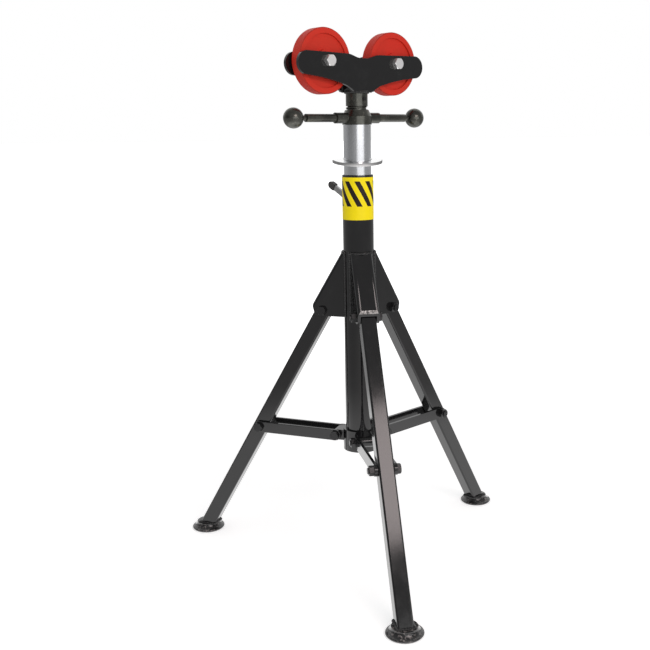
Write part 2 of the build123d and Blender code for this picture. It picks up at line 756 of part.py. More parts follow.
save(lock_housing(), "lock_housing")
save(lock_pins(), "lock_pins")
save(lock_plate(), "lock_plate")
save(push_rod(), "push_rod")
save(lock_lever(), "lock_lever")
save(lever_grip(), "lever_grip")
save(lock_spring(), "lock_spring")
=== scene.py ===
"""Finishes, welds, threads and the studio for a folding pipe jack stand with a roller head."""
import json
from collections import namedtuple
from math import atan2, cos, hypot, pi, radians, sin

import bmesh
import bpy
from mathutils import Matrix, Vector


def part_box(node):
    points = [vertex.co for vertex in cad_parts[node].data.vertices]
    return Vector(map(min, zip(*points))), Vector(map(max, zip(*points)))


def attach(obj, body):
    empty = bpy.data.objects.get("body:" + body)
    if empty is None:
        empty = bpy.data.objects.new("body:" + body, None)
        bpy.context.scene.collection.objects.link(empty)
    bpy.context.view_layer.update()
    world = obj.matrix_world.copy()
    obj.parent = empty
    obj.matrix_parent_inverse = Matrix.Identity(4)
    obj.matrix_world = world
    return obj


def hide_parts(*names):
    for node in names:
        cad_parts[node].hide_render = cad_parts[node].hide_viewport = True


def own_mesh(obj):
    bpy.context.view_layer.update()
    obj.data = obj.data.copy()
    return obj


bl_info = {
    "name": "Pipe Jack Stand Finisher",
    "version": (1, 0, 0),
    "blender": (4, 5, 0),
    "location": "View3D > Sidebar > Pipe Stand",
    "description": "Paints, plates, welds and threads a folding pipe jack stand",
    "category": "Object",
}

MM = 0.001
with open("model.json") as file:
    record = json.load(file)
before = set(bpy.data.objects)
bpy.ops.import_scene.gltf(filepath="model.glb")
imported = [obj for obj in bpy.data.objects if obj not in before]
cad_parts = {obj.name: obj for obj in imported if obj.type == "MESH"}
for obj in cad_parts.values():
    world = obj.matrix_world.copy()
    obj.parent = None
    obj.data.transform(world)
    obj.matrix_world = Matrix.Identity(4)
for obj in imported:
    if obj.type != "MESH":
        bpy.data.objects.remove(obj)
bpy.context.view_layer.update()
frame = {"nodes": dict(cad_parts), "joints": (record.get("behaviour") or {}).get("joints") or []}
JOINTS = {joint["name"]: joint for joint in frame["joints"]}


def low(node):
    """A part's lowest corner."""
    return Vector(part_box(node)[0])


def high(node):
    """A part's highest corner."""
    return Vector(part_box(node)[1])


def middle(node):
    """The middle of a part's box."""
    return (low(node) + high(node)) / 2


def place(joint):
    """A joint's pivot."""
    return Vector(JOINTS[joint]["pos_m"])


def direction(joint):
    """A joint's axis."""
    return Vector(JOINTS[joint]["axis"]).normalized()


AXIS = middle("outer_tube").to_2d().to_3d()
TUBE_RADIUS = (high("outer_tube").x - low("outer_tube").x) / 2
SCREW_RADIUS = (high("jack_screw").x - low("jack_screw").x) / 2
LEGS = (1, 2, 3)
WHEELS = (1, 2)
BRACKET_HALF_WIDTH = 18.0 * MM
HOUSING_HALF_WIDTH = 15.0 * MM
LEG_HALF = 12.7 * MM
LEG_SEAT_DEPTH = 8.0 * MM
SADDLE_HALF_LENGTH = 19.0 * MM
HEAD_GAP_HALF = 13.4 * MM
BOLT_DIAMETER = 9.5 * MM
BOLT_NUT_HEIGHT = 8.2 * MM
SCREW_PIN_RADIUS = 9.5 * MM
SCREW_PIN_LENGTH = 24.0 * MM
LOCK_PLATE_RADIUS = 41.0 * MM
BAND_BARS = 9
BAND_SLANT = 0.55
WELD_PROUD = 0.4 * MM
FOOT_WELD_DROP = 0.5 * MM
CUT_END_REACH = 14.0 * MM
WHOLE_FACE = radians(0.4)
SHADED_EDGE = radians(24)
ROUNDED_EDGE = radians(35)
THREAD_EDGE = radians(30)
PICTURE_WIDTH = 650.0
SENSOR_WIDTH = 36.0
WHITE = (1.0, 1.0, 1.0)

Lamp = namedtuple("Lamp", "name power reach height size target colour")


def round_axis(angle, out=0.0, side=0.0, height=0.0):
    """A point given by its direction round the column, its reach, its sideways offset and height."""
    away = Vector((cos(angle), sin(angle), 0))
    across = Vector((-sin(angle), cos(angle), 0))
    return AXIS + away * out + across * side + Vector((0, 0, height))


def azimuth(point):
    """The direction of a point round the column."""
    return atan2(point.y - AXIS.y, point.x - AXIS.x)


class StandSizes(bpy.types.PropertyGroup):
    """Sizes of the welds, threads and rounded edges."""
    weld_radius: bpy.props.FloatProperty(
        name="Weld Radius", description="Half the width of a weld bead", default=2.9 * MM,
        min=0.0, unit="LENGTH")
    weld_step: bpy.props.FloatProperty(
        name="Weld Step", description="Distance between the ripples of a weld bead", default=1.5 * MM,
        min=0.0, unit="LENGTH")
    screw_lead: bpy.props.FloatProperty(
        name="Screw Lead", description="Rise of the jack screw's thread in one turn", default=6.35 * MM,
        min=0.0, unit="LENGTH")
    thread_depth: bpy.props.FloatProperty(
        name="Thread Depth", description="Depth of the jack screw's thread", default=2.4 * MM,
        min=0.0, unit="LENGTH")
    bolt_pitch: bpy.props.FloatProperty(
        name="Bolt Pitch", description="Distance between the threads on a bolt's tip", default=1.5 * MM,
        min=0.0, unit="LENGTH")
    plate_edge: bpy.props.FloatProperty(
        name="Plate Edge", description="Rounding of the painted plates' edges", default=0.9 * MM,
        min=0.0, unit="LENGTH")


class StandColours(bpy.types.PropertyGroup):
    """Colours of the finishes."""
    paint: bpy.props.FloatVectorProperty(
        name="Paint", description="Gloss paint of the steelwork", subtype="COLOR", size=3,
        default=(0.0075, 0.0075, 0.008), min=0.0, max=1.0)
    plating: bpy.props.FloatVectorProperty(
        name="Plating", description="Bright zinc of the mast", subtype="COLOR", size=3,
        default=(0.60, 0.61, 0.63), min=0.0, max=1.0)
    bolts: bpy.props.FloatVectorProperty(
        name="Bolts", description="Zinc of the axle bolts and nuts", subtype="COLOR", size=3,
        default=(0.90, 0.90, 0.91), min=0.0, max=1.0)
    lock_plate: bpy.props.FloatVectorProperty(
        name="Lock Plate", description="Bright zinc of the canted lock plate", subtype="COLOR", size=3,
        default=(0.92, 0.92, 0.92), min=0.0, max=1.0)
    dark_bolts: bpy.props.FloatVectorProperty(
        name="Dark Bolts", description="Black oxide of the linkage bolts and nuts", subtype="COLOR", size=3,
        default=(0.035, 0.035, 0.036), min=0.0, max=1.0)
    oiled_steel: bpy.props.FloatVectorProperty(
        name="Oiled Steel", description="Dark steel of the screw, nut and bars", subtype="COLOR", size=3,
        default=(0.100, 0.101, 0.090), min=0.0, max=1.0)
    enamel: bpy.props.FloatVectorProperty(
        name="Enamel", description="Red of the rollers", subtype="COLOR", size=3,
        default=(0.62, 0.026, 0.013), min=0.0, max=1.0)
    band: bpy.props.FloatVectorProperty(
        name="Band", description="Yellow of the band", subtype="COLOR", size=3,
        default=(0.98, 0.79, 0.004), min=0.0, max=1.0)
    floor: bpy.props.FloatVectorProperty(
        name="Floor", description="Pale studio floor", subtype="COLOR", size=3,
        default=(0.86, 0.86, 0.86), min=0.0, max=1.0)


class StandStudio(bpy.types.PropertyGroup):
    """Where the camera stands and how bright the studio is."""
    distance: bpy.props.FloatProperty(
        name="Distance", description="Level distance from the column to the camera", default=1.53516,
        unit="LENGTH")
    height: bpy.props.FloatProperty(
        name="Height", description="Camera height above the floor", default=0.72203, unit="LENGTH")
    bearing: bpy.props.FloatProperty(
        name="Bearing", description="How far left of the front leg the camera stands",
        default=radians(11.54), subtype="ANGLE")
    turn: bpy.props.FloatProperty(
        name="Turn", description="How far right of the column the camera looks",
        default=radians(1.081), subtype="ANGLE")
    pitch: bpy.props.FloatProperty(
        name="Pitch", description="How far down the camera looks", default=radians(11.52), subtype="ANGLE")
    roll: bpy.props.FloatProperty(
        name="Roll", description="Roll of the camera", default=radians(-0.51), subtype="ANGLE")
    focal_pixels: bpy.props.FloatProperty(
        name="Focal Length", description="Focal length in pixels of a 650 pixel picture", default=931.73)
    centre_x: bpy.props.FloatProperty(
        name="Centre X", description="Optical centre, pixels from the picture's left", default=376.70)
    centre_y: bpy.props.FloatProperty(
        name="Centre Y", description="Optical centre, pixels from the picture's top", default=319.23)
    room_light: bpy.props.FloatProperty(
        name="Room Light", description="Strength of the even light", default=0.56, min=0.0)
    high_lamp: bpy.props.FloatProperty(
        name="High Lamp", description="Power of the narrow lamp in front and above", default=15.0, min=0.0,
        unit="POWER")
    low_lamp: bpy.props.FloatProperty(
        name="Low Lamp", description="Power of the wide lamp at the mast's height", default=8.6, min=0.0,
        unit="POWER")


class Signal:
    """A shader socket that takes part in sums."""

    def __init__(self, finish, socket):
        self.finish = finish
        self.socket = socket

    def __add__(self, other):
        return self.finish.sum("ADD", self, other)

    __radd__ = __add__

    def __sub__(self, other):
        return self.finish.sum("SUBTRACT", self, other)

    def __rsub__(self, other):
        return self.finish.sum("SUBTRACT", other, self)

    def __mul__(self, other):
        return self.finish.sum("MULTIPLY", self, other)

    __rmul__ = __mul__

    def __lt__(self, other):
        return self.finish.sum("LESS_THAN", self, other)

    def __gt__(self, other):
        return self.finish.sum("GREATER_THAN", self, other)

    def wrapped(self, span):
        """The remainder after whole spans."""
        return self.finish.sum("FLOORED_MODULO", self, span)

    def ramp(self, start, end):
        """0 up to start, 1 from end, smooth between."""
        return self.finish.node("ShaderNodeMapRange", {"interpolation_type": "SMOOTHSTEP"},
                                {0: self, 1: start, 2: end, 3: 0.0, 4: 1.0})


class Shading:
    """A shader tree under construction."""

    def __init__(self, tree):
        self.tree = tree
        self.tree.nodes.clear()

    def node(self, kind, settings=None, values=None, output=0):
        """Adds a node, with its settings first and then its values or links."""
        made = self.tree.nodes.new(kind)
        for name, value in (settings or {}).items():
            setattr(made, name, value)
        for key, value in (values or {}).items():
            self.feed(made.inputs[key], value)
        return Signal(self, made.outputs[output])

    def feed(self, socket, value):
        """Links a signal to a socket, or sets the socket's own value."""
        if isinstance(value, Signal):
            self.tree.links.new(value.socket, socket)
        elif hasattr(value, "__len__") and len(value) == 3 and socket.type == "RGBA":
            socket.default_value = (*value, 1.0)
        else:
            socket.default_value = value

    def sum(self, operation, first, second=0.0):
        return self.node("ShaderNodeMath", {"operation": operation}, {0: first, 1: second})

    def part(self, vector, name):
        """One coordinate of a vector."""
        return self.node("ShaderNodeSeparateXYZ", None, {0: vector}, name)

    def along(self, vector, axis):
        """How far a vector goes along an axis."""
        return self.node("ShaderNodeVectorMath", {"operation": "DOT_PRODUCT"},
                         {0: vector, 1: tuple(axis)}, "Value")

    def blend(self, mask, first, second):
        """A colour that goes from the first to the second with the mask."""
        return self.node("ShaderNodeMix", {"data_type": "RGBA"}, {0: mask, 6: first, 7: second}, 2)


class Finish(Shading):
    """A material under construction."""

    def __init__(self, name):
        self.material = bpy.data.materials.new(name)
        self.material.use_nodes = True
        super().__init__(self.material.node_tree)
        output = self.tree.nodes.new("ShaderNodeOutputMaterial")
        self.shader = self.tree.nodes.new("ShaderNodeBsdfPrincipled")
        self.tree.links.new(self.shader.outputs[0], output.inputs[0])
        self.place = self.node("ShaderNodeTexCoord", output="Object")

    def from_point(self, origin):
        """The place on the piece, counted from a point."""
        return self.node("ShaderNodeVectorMath", {"operation": "SUBTRACT"},
                         {0: self.place, 1: tuple(origin)})

    def length(self, vector):
        return self.node("ShaderNodeVectorMath", {"operation": "LENGTH"}, {0: vector}, "Value")

    def radius(self, origin, axis):
        """Distance from a line through a point."""
        offset = self.from_point(origin)
        crossed = self.node("ShaderNodeVectorMath", {"operation": "CROSS_PRODUCT"},
                            {0: offset, 1: tuple(axis)})
        return self.length(crossed)

    def noise(self, scale, detail=3.0, stretch=(1, 1, 1), roughness=0.55):
        """Fine cloud noise, stretched where a stretch is given."""
        vector = self.place
        if tuple(stretch) != (1, 1, 1):
            vector = self.node("ShaderNodeMapping", None, {"Vector": self.place, "Scale": stretch})
        return self.node("ShaderNodeTexNoise", None, {"Vector": vector, "Scale": scale,
                         "Detail": detail, "Roughness": roughness})

    def bump(self, height, distance, strength=1.0):
        self.feed(self.shader.inputs["Normal"], self.node("ShaderNodeBump", None, {
            "Strength": strength, "Distance": distance, "Height": height}))

    def set(self, **values):
        """Feeds the shader's sockets, named with underscores for spaces."""
        for name, value in values.items():
            self.feed(self.shader.inputs[name.replace("_", " ").title().replace("Ior", "IOR")], value)
        return self.material


def scaled(colour, share):
    """A darker or lighter shade of a colour."""
    return tuple(channel * share for channel in colour)


def gloss_paint(colour):
    """Sprayed black gloss: faint orange peel, clouds in the gloss, dust specks and a dull bloom."""
    finish = Finish("gloss_paint")
    clouds = finish.noise(22.0, 4.0)
    peel = finish.noise(700.0, 2.0)
    specks = finish.noise(2400.0, 1.0).ramp(0.70, 0.78)
    bloom = finish.noise(60.0, 5.0).ramp(0.46, 0.80)
    dull, dust = tuple(channel + 0.008 for channel in colour), (0.04, 0.04, 0.04)
    tone = finish.blend(bloom * 0.5, colour, dull)
    tone = finish.blend(specks * 0.35, tone, dust)
    finish.bump(peel + clouds * 0.8, 0.03 * MM, 0.35)
    return finish.set(base_color=tone, roughness=0.07 + clouds * 0.06 + bloom * 0.03,
                      specular_ior_level=0.46)


def scuffed_paint_and_sheen(name, colour, grey, share):
    """The same paint where it is handled and knocked, rubbed thin and lighter grey in places; the lighter
    grey is partly wear and partly a painted highlight.
    """
    finish = Finish(name)
    rubbed = finish.noise(260.0, 4.0).ramp(0.50, 0.68)
    long_marks = finish.noise(45.0, 3.0).ramp(0.42, 0.70)
    worn = rubbed * (0.3 + long_marks * 0.7) * share
    # lighter grey patches: rubbed paint, and also a painted highlight standing in for edge highlights and
    # glints
    tone = finish.blend(worn, scaled(colour, 1.6), grey)
    finish.bump(rubbed, 0.08 * MM, 0.5)
    return finish.set(base_color=tone, roughness=0.12 + rubbed * 0.16, specular_ior_level=0.60)


def rubbed_steel_highlight():
    """Lighter bare steel on the brackets' cut ends, a painted highlight along the end of each slanting
    back.
    """
    finish = Finish("rubbed_steel_highlight")
    left = finish.noise(300.0, 4.0).ramp(0.45, 0.62)
    steel, paint_left = (0.20, 0.20, 0.195), (0.02, 0.02, 0.02)
    tone = finish.blend(left * 0.75, steel, paint_left)
    finish.bump(left, 0.06 * MM, 0.4)
    return finish.set(base_color=tone, metallic=0.9, roughness=0.30 + left * 0.15)


def zinc_tube(colour):
    """Bright zinc on drawn tube: fine lines along it and faint cloudy spangle."""
    finish = Finish("zinc_tube")
    lines = finish.noise(90.0, 3.0, (8.0, 8.0, 0.35))
    cloud = finish.noise(30.0, 4.0)
    rings = finish.noise(14.0, 3.0, (0.3, 0.3, 9.0))
    tone = finish.blend(cloud * 0.5 + rings * 0.25, colour, scaled(colour, 0.72))
    finish.bump(lines, 0.04 * MM, 0.35)
    return finish.set(base_color=tone, metallic=1.0, roughness=0.17 + cloud * 0.10 + lines * 0.08)


def zinc_hardware(name, colour, roughness):
    """Zinc on bolts and the lock's pressed parts: slightly yellowed and scuffed."""
    finish = Finish(name)
    cloud = finish.noise(110.0, 4.0)
    scuffs = finish.noise(700.0, 3.0).ramp(0.55, 0.72)
    yellowed = (colour[0] * 0.90, colour[1] * 0.88, colour[2] * 0.82)
    tone = finish.blend(cloud.ramp(0.35, 0.75) * 0.5, colour, yellowed)
    tone = finish.blend(scuffs * 0.3, tone, scaled(colour, 0.6))
    finish.bump(cloud + scuffs * 0.4, 0.05 * MM, 0.4)
    return finish.set(base_color=tone, metallic=1.0, roughness=roughness + cloud * 0.16)


def sheared_zinc(colour):
    """Bright zinc on the lock plate, with a dull grey rim where it was punched out."""
    finish = Finish("sheared_zinc")
    offset = finish.from_point(AXIS)
    level = (1.0, 1.0, 0.0)
    flat = finish.node("ShaderNodeVectorMath", {"operation": "MULTIPLY"}, {0: offset, 1: level})
    rim = finish.length(flat).ramp(LOCK_PLATE_RADIUS - 1.4 * MM, LOCK_PLATE_RADIUS - 0.5 * MM)
    cloud = finish.noise(120.0, 4.0)
    tone = finish.blend(cloud * 0.3, colour, scaled(colour, 0.85))
    tone = finish.blend(rim, tone, scaled(colour, 0.36))
    finish.bump(cloud, 0.04 * MM, 0.3)
    return finish.set(base_color=tone, metallic=1.0, roughness=0.10 + cloud * 0.12 + rim * 0.25)


def black_oxide(colour):
    """Black oxide on the linkage bolts: oily sheen, rubbed grey on the high spots."""
    finish = Finish("black_oxide")
    cloud = finish.noise(140.0, 4.0)
    rubbed = finish.noise(520.0, 3.0).ramp(0.60, 0.76)
    bare = (0.14, 0.135, 0.125)
    tone = finish.blend(cloud * 0.6, colour, scaled(colour, 0.5))
    tone = finish.blend(rubbed * 0.5, tone, bare)
    finish.bump(cloud + rubbed * 0.4, 0.05 * MM, 0.4)
    return finish.set(base_color=tone, metallic=0.7, roughness=0.28 + cloud * 0.16)


def oiled_steel(colour):
    """Dark oiled steel: mill scale clouds, a faint green cast and worn bright spots."""
    finish = Finish("oiled_steel")
    scale = finish.noise(55.0, 5.0)
    wear = finish.noise(240.0, 4.0).ramp(0.58, 0.76)
    bare = (0.27, 0.26, 0.22)
    tone = finish.blend(scale.ramp(0.35, 0.7), scaled(colour, 0.62), colour)
    tone = finish.blend(wear * 0.6, tone, bare)
    finish.bump(scale + wear * 0.3, 0.10 * MM, 0.45)
    return finish.set(base_color=tone, metallic=0.9, roughness=0.20 + scale * 0.14)


def wheel_enamel(number, colour):
    """Red enamel on a roller: faint clouds and a darker line at its two rim edges."""
    finish = Finish(f"wheel_enamel_{number}")
    pivot, axis = place(f"wheel_turn_{number}"), direction(f"wheel_turn_{number}")
    radius = finish.radius(pivot, axis)
    wheel_radius = (high(f"roller_wheel_{number}").z - low(f"roller_wheel_{number}").z) / 2
    cloud = finish.noise(38.0, 4.0)
    fine = finish.noise(420.0, 3.0)
    past_face = radius.ramp(wheel_radius * 0.965, wheel_radius * 0.985)
    on_tread = radius.ramp(wheel_radius * 0.990, wheel_radius * 0.998)
    edge = past_face * (1 - on_tread)
    faded = (colour[0] * 0.84, colour[1] * 1.5, colour[2] * 1.3)
    rim_darkening = (colour[0] * 0.34, colour[1] * 0.7, colour[2] * 0.8)
    tone = finish.blend(cloud.ramp(0.35, 0.7) * 0.35, colour, faded)
    # a darker line is laid in the enamel's colour near both rim edges
    tone = finish.blend(edge * (0.45 + fine * 0.35), tone, rim_darkening)
    finish.bump(fine + cloud, 0.08 * MM, 0.4)
    return finish.set(base_color=tone, roughness=0.46 + cloud * 0.12, specular_ior_level=0.22)


def striped_band(colour):
    """Yellow vinyl with a row of plain slanted bars, as on warning tape."""
    finish = Finish("striped_band")
    place_here = finish.from_point(AXIS)
    x, y = finish.part(place_here, "X"), finish.part(place_here, "Y")
    height = finish.part(place_here, "Z")
    turn = finish.sum("ARCTAN2", y, x) * TUBE_RADIUS
    bottom, top = low("wrap_band").z, high("wrap_band").z
    bar_low, bar_high = bottom + (top - bottom) * 0.32, bottom + (top - bottom) * 0.91
    bar_step = 2 * pi * TUBE_RADIUS / BAND_BARS
    slant = (turn + height * BAND_SLANT).wrapped(bar_step)
    bars = (slant < bar_step * 0.50) * (height > bar_low) * (height < bar_high)
    scuffs = finish.noise(150.0, 4.0).ramp(0.60, 0.80)
    ink = (0.018, 0.012, 0.010)
    tone = finish.blend(scuffs * 0.25, colour, scaled(colour, 0.82))
    tone = finish.blend(bars, tone, ink)
    finish.bump(finish.noise(500.0, 2.0) + bars * 0.6, 0.04 * MM, 0.4)
    return finish.set(base_color=tone, roughness=0.40 + scuffs * 0.25, specular_ior_level=0.22)


def plain_bronze():
    """Bronze of the rollers' bushes, brown in places."""
    finish = Finish("bearing_bronze")
    cloud = finish.noise(180.0, 4.0)
    brown, bright = (0.36, 0.24, 0.09), (0.50, 0.37, 0.17)
    tone = finish.blend(cloud, brown, bright)
    finish.bump(cloud, 0.05 * MM, 0.4)
    return finish.set(base_color=tone, metallic=1.0, roughness=0.32 + cloud * 0.2)


def dipped_grip():
    """Black vinyl, dull and a little uneven from dipping."""
    finish = Finish("dipped_grip")
    cloud = finish.noise(160.0, 3.0)
    black, dusty = (0.030, 0.030, 0.030), (0.060, 0.058, 0.056)
    tone = finish.blend(cloud, black, dusty)
    finish.bump(cloud, 0.2 * MM, 0.5)
    return finish.set(base_color=tone, roughness=0.48 + cloud * 0.15)


def coat(material, nodes):
    """Gives CAD parts a finish."""
    for node in nodes:
        slots = frame["nodes"][node].data.materials
        slots.clear()
        slots.append(material)


def path_mesh(name, paths):
    """Open or closed lines of points as a mesh of edges."""
    points, edges = [], []
    for path, closed in paths:
        first = len(points)
        points += [tuple(point) for point in path]
        edges += [(first + i, first + i + 1) for i in range(len(path) - 1)]
        if closed:
            edges.append((first + len(path) - 1, first))
    mesh = bpy.data.meshes.new(name)
    mesh.from_pydata(points, edges, [])
    return mesh


class Recipe:
    """A geometry node tree under construction."""

    def __init__(self, name, numbers):
        self.tree = bpy.data.node_groups.new(name, "GeometryNodeTree")
        face = self.tree.interface
        face.new_socket("Geometry", in_out="INPUT", socket_type="NodeSocketGeometry")
        for label, default in numbers.items():
            socket = face.new_socket(label, in_out="INPUT", socket_type="NodeSocketFloat")
            socket.default_value = default
        face.new_socket("Material", in_out="INPUT", socket_type="NodeSocketMaterial")
        face.new_socket("Geometry", in_out="OUTPUT", socket_type="NodeSocketGeometry")
        self.given = self.tree.nodes.new("NodeGroupInput")

    def node(self, kind, settings=None, values=None):
        made = self.tree.nodes.new(kind)
        for name, value in (settings or {}).items():
            setattr(made, name, value)
        for key, value in (values or {}).items():
            if isinstance(value, bpy.types.NodeSocket):
                self.tree.links.new(value, made.inputs[key])
            else:
                made.inputs[key].default_value = value
        return made

    def sum(self, operation, first, second=0.0):
        return self.node("ShaderNodeMath", {"operation": operation}, {0: first, 1: second}).outputs[0]

    def close(self, geometry):
        """Ends the tree with real geometry and its material."""
        real = self.node("GeometryNodeRealizeInstances", None, {0: geometry})
        dressed = self.node("GeometryNodeSetMaterial", None,
                            {"Geometry": real.outputs[0], "Material": self.given.outputs["Material"]})
        self.node("NodeGroupOutput", None, {0: dressed.outputs[0]})
        return self.tree


def grow(name, mesh, recipe, numbers, material):
    """Runs a recipe on a mesh and keeps the result as a plain mesh."""
    source = bpy.data.objects.new(name + "_path", mesh)
    bpy.context.scene.collection.objects.link(source)
    modifier = source.modifiers.new("recipe", "NODES")
    modifier.node_group = recipe
    given = dict(numbers, Material=material)
    for socket in recipe.interface.items_tree:
        if socket.in_out == "INPUT" and socket.name in given:
            modifier[socket.identifier] = given[socket.name]
    graph = bpy.context.evaluated_depsgraph_get()
    made = bpy.data.meshes.new_from_object(source.evaluated_get(graph), depsgraph=graph)
    bpy.data.objects.remove(source)
    if not made.polygons:
        raise RuntimeError(f"{name} came out empty")
    made.name = name
    piece = bpy.data.objects.new(name, made)
    bpy.context.scene.collection.objects.link(piece)
    return piece


def weld_recipe():
    """Overlapping ripples along each line, as a welder lays them."""
    recipe = Recipe("weld_beads", {"Radius": 2.0 * MM, "Step": 1.5 * MM})
    given = recipe.given.outputs
    curve = recipe.node("GeometryNodeMeshToCurve", None, {"Mesh": given["Geometry"]})
    beads = recipe.node("GeometryNodeResampleCurve", {"mode": "LENGTH"},
                        {"Curve": curve.outputs[0], "Length": given["Step"]})
    ripple = recipe.node("GeometryNodeMeshUVSphere", None,
                         {"Segments": 10, "Rings": 6, "Radius": given["Radius"]})
    tangent = recipe.node("GeometryNodeInputTangent")
    turn = recipe.node("FunctionNodeAlignRotationToVector", {"axis": "Z"}, {"Vector": tangent.outputs[0]})
    smallest, largest = (0.86, 0.86, 0.55), (1.12, 1.12, 0.80)
    spread = recipe.node("FunctionNodeRandomValue", {"data_type": "FLOAT_VECTOR"},
                         {0: smallest, 1: largest, "Seed": 11})
    placed = recipe.node("GeometryNodeInstanceOnPoints", None, {
        "Points": beads.outputs[0], "Instance": ripple.outputs[0],
        "Rotation": turn.outputs[0], "Scale": spread.outputs[0]})
    return recipe.close(placed.outputs[0])


def thread_recipe():
    """Presses a helical groove with slanted flanks into the side of an upright cylinder."""
    recipe = Recipe("screw_thread", {"Radius": 17.0 * MM, "Depth": 2.0 * MM, "Lead": 6.0 * MM,
                                     "Bottom": 0.0, "Top": 100.0 * MM})
    given = recipe.given.outputs
    spot = recipe.node("GeometryNodeInputPosition").outputs[0]
    parts = recipe.node("ShaderNodeSeparateXYZ", None, {0: spot}).outputs
    turn = recipe.sum("DIVIDE", recipe.sum("ARCTAN2", parts["Y"], parts["X"]), 2 * pi)
    climb = recipe.sum("SUBTRACT", recipe.sum("DIVIDE", parts["Z"], given["Lead"]), turn)
    phase = recipe.sum("ABSOLUTE", recipe.sum("SUBTRACT", recipe.sum("FRACT", climb), 0.5))
    crest_ends, root_starts = 0.19, 0.31
    groove = recipe.node("ShaderNodeMapRange", None,
                         {0: phase, 1: crest_ends, 2: root_starts, 3: 0.0, 4: 1.0}).outputs[0]
    above = recipe.sum("GREATER_THAN", parts["Z"], given["Bottom"])
    below = recipe.sum("LESS_THAN", parts["Z"], given["Top"])
    cut = recipe.sum("MULTIPLY", recipe.sum("MULTIPLY", groove, recipe.sum("MULTIPLY", above, below)),
                     recipe.sum("DIVIDE", given["Depth"], given["Radius"]))
    share = recipe.sum("SUBTRACT", 1.0, cut)
    flat = recipe.node("ShaderNodeCombineXYZ", None, {
        "X": recipe.sum("MULTIPLY", parts["X"], share), "Y": recipe.sum("MULTIPLY", parts["Y"], share),
        "Z": parts["Z"]}).outputs[0]
    moved = recipe.node("GeometryNodeSetPosition", None, {"Geometry": given["Geometry"], "Position": flat})
    return recipe.close(moved.outputs[0])


def bolt_tip_recipe():
    """Round thread crests at every step of a short line."""
    recipe = Recipe("bolt_tip_threads", {"Radius": 4.7 * MM, "Step": 1.5 * MM, "Crest": 0.5 * MM})
    given = recipe.given.outputs
    curve = recipe.node("GeometryNodeMeshToCurve", None, {"Mesh": given["Geometry"]})
    steps = recipe.node("GeometryNodeResampleCurve", {"mode": "LENGTH"},
                        {"Curve": curve.outputs[0], "Length": given["Step"]})
    ring = recipe.node("GeometryNodeCurvePrimitiveCircle", None,
                       {"Resolution": 28, "Radius": given["Radius"]})
    round_wire = recipe.node("GeometryNodeCurvePrimitiveCircle", None,
                             {"Resolution": 6, "Radius": given["Crest"]})
    crest = recipe.node("GeometryNodeCurveToMesh", None, {
        "Curve": ring.outputs[0], "Profile Curve": round_wire.outputs[0]})
    tangent = recipe.node("GeometryNodeInputTangent")
    turn = recipe.node("FunctionNodeAlignRotationToVector", {"axis": "Z"}, {"Vector": tangent.outputs[0]})
    placed = recipe.node("GeometryNodeInstanceOnPoints", None, {
        "Points": steps.outputs[0], "Instance": crest.outputs[0], "Rotation": turn.outputs[0]})
    return recipe.close(placed.outputs[0])


def straight(start, end):
    """An open line between two points."""
    return [start, end], False


def ring_round(centre, axis, radius, count=48):
    """A closed circle round an axis."""
    side = axis.orthogonal().normalized()
    other = axis.cross(side)
    return [centre + side * (radius * cos(2 * pi * i / count)) + other * (radius * sin(2 * pi * i / count))
            for i in range(count)], True


def smooth(piece):
    for face in piece.data.polygons:
        face.use_smooth = True


def soften(node, body, worn, edge):
    """Stands in for a plate with the same shape and its sharp edges rounded, the rounded edges given a
    lighter rubbed finish that is partly wear and partly a painted highlight.
    """
    material = frame["nodes"][node].data.materials[0]
    mesh = frame["nodes"][node].data.copy()
    mesh.name = f"{node}_softened"
    work = bmesh.new()
    work.from_mesh(mesh)
    bmesh.ops.remove_doubles(work, verts=work.verts, dist=0.002 * MM)
    bmesh.ops.dissolve_limit(work, angle_limit=WHOLE_FACE, verts=work.verts, edges=work.edges)
    bmesh.ops.recalc_face_normals(work, faces=work.faces)
    work.to_mesh(mesh)
    work.free()
    mesh.materials.clear()
    mesh.materials.append(material)
    mesh.materials.append(worn)
    piece = bpy.data.objects.new(f"{node}_softened", mesh)
    bpy.context.scene.collection.objects.link(piece)
    smooth(piece)
    mesh.set_sharp_from_angle(angle=SHADED_EDGE)
    bevel = piece.modifiers.new("edges", "BEVEL")
    bevel.width = edge
    bevel.segments = 3
    bevel.limit_method = "ANGLE"
    bevel.angle_limit = ROUNDED_EDGE
    bevel.use_clamp_overlap = True
    # the rounded edges take the second finish: rubbed paint that also paints a highlight along them
    bevel.material = 1
    weighted = piece.modifiers.new("normals", "WEIGHTED_NORMAL")
    weighted.keep_sharp = True
    weighted.weight = 100
    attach(piece, body)
    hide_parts(node)
    return piece


def turned(name, outline, count):
    """A closed mesh turned round the upright axis from radii and heights, from bottom to top."""
    points, faces = [], []
    for radius, height in outline:
        points += [(radius * cos(2 * pi * i / count), radius * sin(2 * pi * i / count), height)
                   for i in range(count)]
    for row in range(len(outline) - 1):
        for i in range(count):
            j = (i + 1) % count
            faces.append((row * count + i, row * count + j, (row + 1) * count + j, (row + 1) * count + i))
    faces.append(tuple(reversed(range(count))))
    last = (len(outline) - 1) * count
    faces.append(tuple(range(last, last + count)))
    mesh = bpy.data.meshes.new(name)
    mesh.from_pydata(points, [], faces)
    return mesh


